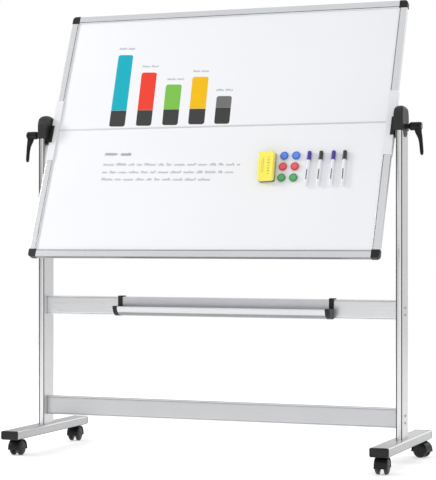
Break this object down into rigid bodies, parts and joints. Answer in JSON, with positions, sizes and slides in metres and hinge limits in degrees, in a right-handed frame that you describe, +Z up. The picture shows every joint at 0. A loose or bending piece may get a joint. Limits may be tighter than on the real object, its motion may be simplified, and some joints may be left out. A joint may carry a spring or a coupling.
{
  "type": "rolling whiteboard",
  "caption": "Mobile magnetic whiteboard on a castered aluminium stand; the double-sided board turns between two posts with clamp levers and has a sliding pen tray.",
  "frame": {"origin": "on the floor under the board's turning axis, midway between the two posts", "axes": "+Z up, -Y towards the side that carries the pen tray and the accessories, +X to the right of someone facing that side"},
  "size_m": [1.3927, 0.531, 1.4838],
  "materials": {
    "panel": "gloss",
    "frame_aluminium": "satin",
    "post_aluminium": "satin",
    "foot_aluminium": "satin",
    "bar_aluminium": "satin",
    "tray_aluminium": "satin",
    "sleeve_plastic": "satin",
    "black_plastic": "matte",
    "lever_plastic": "matte",
    "bolt_steel": "satin",
    "caster_plastic": "matte",
    "caster_wheel": "matte",
    "eraser_yellow": "satin",
    "eraser_felt": "matte",
    "magnet_red": "gloss",
    "magnet_blue": "gloss",
    "magnet_green": "gloss",
    "marker_body": "gloss"
  },
  "bodies": {
    "stand": {"left_post": "post_aluminium", "right_post": "post_aluminium", "left_post_head": "black_plastic", "right_post_head": "black_plastic", "upper_crossbar": "bar_aluminium", "lower_crossbar": "bar_aluminium", "left_foot": "foot_aluminium", "right_foot": "foot_aluminium", "left_foot_cap_front": "black_plastic", "left_foot_cap_rear": "black_plastic", "right_foot_cap_front": "black_plastic", "right_foot_cap_rear": "black_plastic"},
    "board": {"upper_panel": "panel", "lower_panel": "panel", "top_rail": "frame_aluminium", "bottom_rail": "frame_aluminium", "left_rail_upper": "frame_aluminium", "left_rail_lower": "frame_aluminium", "right_rail_upper": "frame_aluminium", "right_rail_lower": "frame_aluminium", "panel_joint_strip": "frame_aluminium", "corner_cap_top_left": "black_plastic", "corner_cap_top_right": "black_plastic", "corner_cap_bottom_left": "black_plastic", "corner_cap_bottom_right": "black_plastic", "left_joint_sleeve": "sleeve_plastic", "right_joint_sleeve": "sleeve_plastic", "left_pivot_bracket": "black_plastic", "right_pivot_bracket": "black_plastic", "left_pivot_bolt": "bolt_steel", "right_pivot_bolt": "bolt_steel", "eraser_body": "eraser_yellow", "eraser_felt": "eraser_felt", "magnet_blue_1": "magnet_blue", "magnet_blue_2": "magnet_blue", "magnet_red_1": "magnet_red", "magnet_red_2": "magnet_red", "magnet_green_1": "magnet_green", "magnet_green_2": "magnet_green", "marker_1": "marker_body", "marker_2": "marker_body", "marker_3": "marker_body", "marker_4": "marker_body"},
    "tray": {"pen_tray": "tray_aluminium", "tray_hook_left": "black_plastic", "tray_hook_right": "black_plastic"},
    "left_lever": {"left_clamp_lever": "lever_plastic"},
    "right_lever": {"right_clamp_lever": "lever_plastic"},
    "front_left_swivel": {"front_left_caster_hood": "caster_plastic"},
    "front_left_outer_wheel": {"front_left_wheel_outer": "caster_wheel"},
    "front_left_inner_wheel": {"front_left_wheel_inner": "caster_wheel"},
    "rear_left_swivel": {"rear_left_caster_hood": "caster_plastic"},
    "rear_left_outer_wheel": {"rear_left_wheel_outer": "caster_wheel"},
    "rear_left_inner_wheel": {"rear_left_wheel_inner": "caster_wheel"},
    "front_right_swivel": {"front_right_caster_hood": "caster_plastic"},
    "front_right_outer_wheel": {"front_right_wheel_outer": "caster_wheel"},
    "front_right_inner_wheel": {"front_right_wheel_inner": "caster_wheel"},
    "rear_right_swivel": {"rear_right_caster_hood": "caster_plastic"},
    "rear_right_outer_wheel": {"rear_right_wheel_outer": "caster_wheel"},
    "rear_right_inner_wheel": {"rear_right_wheel_inner": "caster_wheel"}
  },
  "joints": [
    {"name": "board_turn", "type": "hinge", "parent": "stand", "child": "board", "pos_m": [0, 0, 1.063], "axis": [1, 0, 0], "continuous": true},
    {"name": "left_lever_turn", "type": "hinge", "parent": "stand", "child": "left_lever", "pos_m": [-0.64, 0, 1.063], "axis": [-1, 0, 0], "range_deg": [0, 180]},
    {"name": "right_lever_turn", "type": "hinge", "parent": "stand", "child": "right_lever", "pos_m": [0.64, 0, 1.063], "axis": [1, 0, 0], "range_deg": [0, 180]},
    {"name": "tray_slide", "type": "slide", "parent": "stand", "child": "tray", "axis": [1, 0, 0], "range_m": [-0.26, 0.2]},
    {"name": "front_left_swivel_turn", "type": "hinge", "parent": "stand", "child": "front_left_swivel", "pos_m": [-0.623, -0.2165, 0.05], "axis": [0, 0, 1], "continuous": true},
    {"name": "front_left_outer_spin", "type": "hinge", "parent": "front_left_swivel", "child": "front_left_outer_wheel", "pos_m": [-0.62265, -0.20651, 0.025], "axis": [-0.9994, 0.0349, 0], "continuous": true},
    {"name": "front_left_inner_spin", "type": "hinge", "parent": "front_left_swivel", "child": "front_left_inner_wheel", "pos_m": [-0.62265, -0.20651, 0.025], "axis": [-0.9994, 0.0349, 0], "continuous": true},
    {"name": "rear_left_swivel_turn", "type": "hinge", "parent": "stand", "child": "rear_left_swivel", "pos_m": [-0.623, 0.2165, 0.05], "axis": [0, 0, 1], "continuous": true},
    {"name": "rear_left_outer_spin", "type": "hinge", "parent": "rear_left_swivel", "child": "rear_left_outer_wheel", "pos_m": [-0.62352, 0.22649, 0.025], "axis": [-0.9986, -0.0523, 0], "continuous": true},
    {"name": "rear_left_inner_spin", "type": "hinge", "parent": "rear_left_swivel", "child": "rear_left_inner_wheel", "pos_m": [-0.62352, 0.22649, 0.025], "axis": [-0.9986, -0.0523, 0], "continuous": true},
    {"name": "front_right_swivel_turn", "type": "hinge", "parent": "stand", "child": "front_right_swivel", "pos_m": [0.623, -0.2165, 0.05], "axis": [0, 0, 1], "continuous": true},
    {"name": "front_right_outer_spin", "type": "hinge", "parent": "front_right_swivel", "child": "front_right_outer_wheel", "pos_m": [0.62335, -0.22649, 0.025], "axis": [0.9994, 0.0349, 0], "continuous": true},
    {"name": "front_right_inner_spin", "type": "hinge", "parent": "front_right_swivel", "child": "front_right_inner_wheel", "pos_m": [0.62335, -0.22649, 0.025], "axis": [0.9994, 0.0349, 0], "continuous": true},
    {"name": "rear_right_swivel_turn", "type": "hinge", "parent": "stand", "child": "rear_right_swivel", "pos_m": [0.623, 0.2165, 0.05], "axis": [0, 0, 1], "continuous": true},
    {"name": "rear_right_outer_spin", "type": "hinge", "parent": "rear_right_swivel", "child": "rear_right_outer_wheel", "pos_m": [0.6327, 0.21408, 0.025], "axis": [0.2419, 0.9703, 0], "continuous": true},
    {"name": "rear_right_inner_spin", "type": "hinge", "parent": "rear_right_swivel", "child": "rear_right_inner_wheel", "pos_m": [0.6327, 0.21408, 0.025], "axis": [0.2419, 0.9703, 0], "continuous": true}
  ]
}
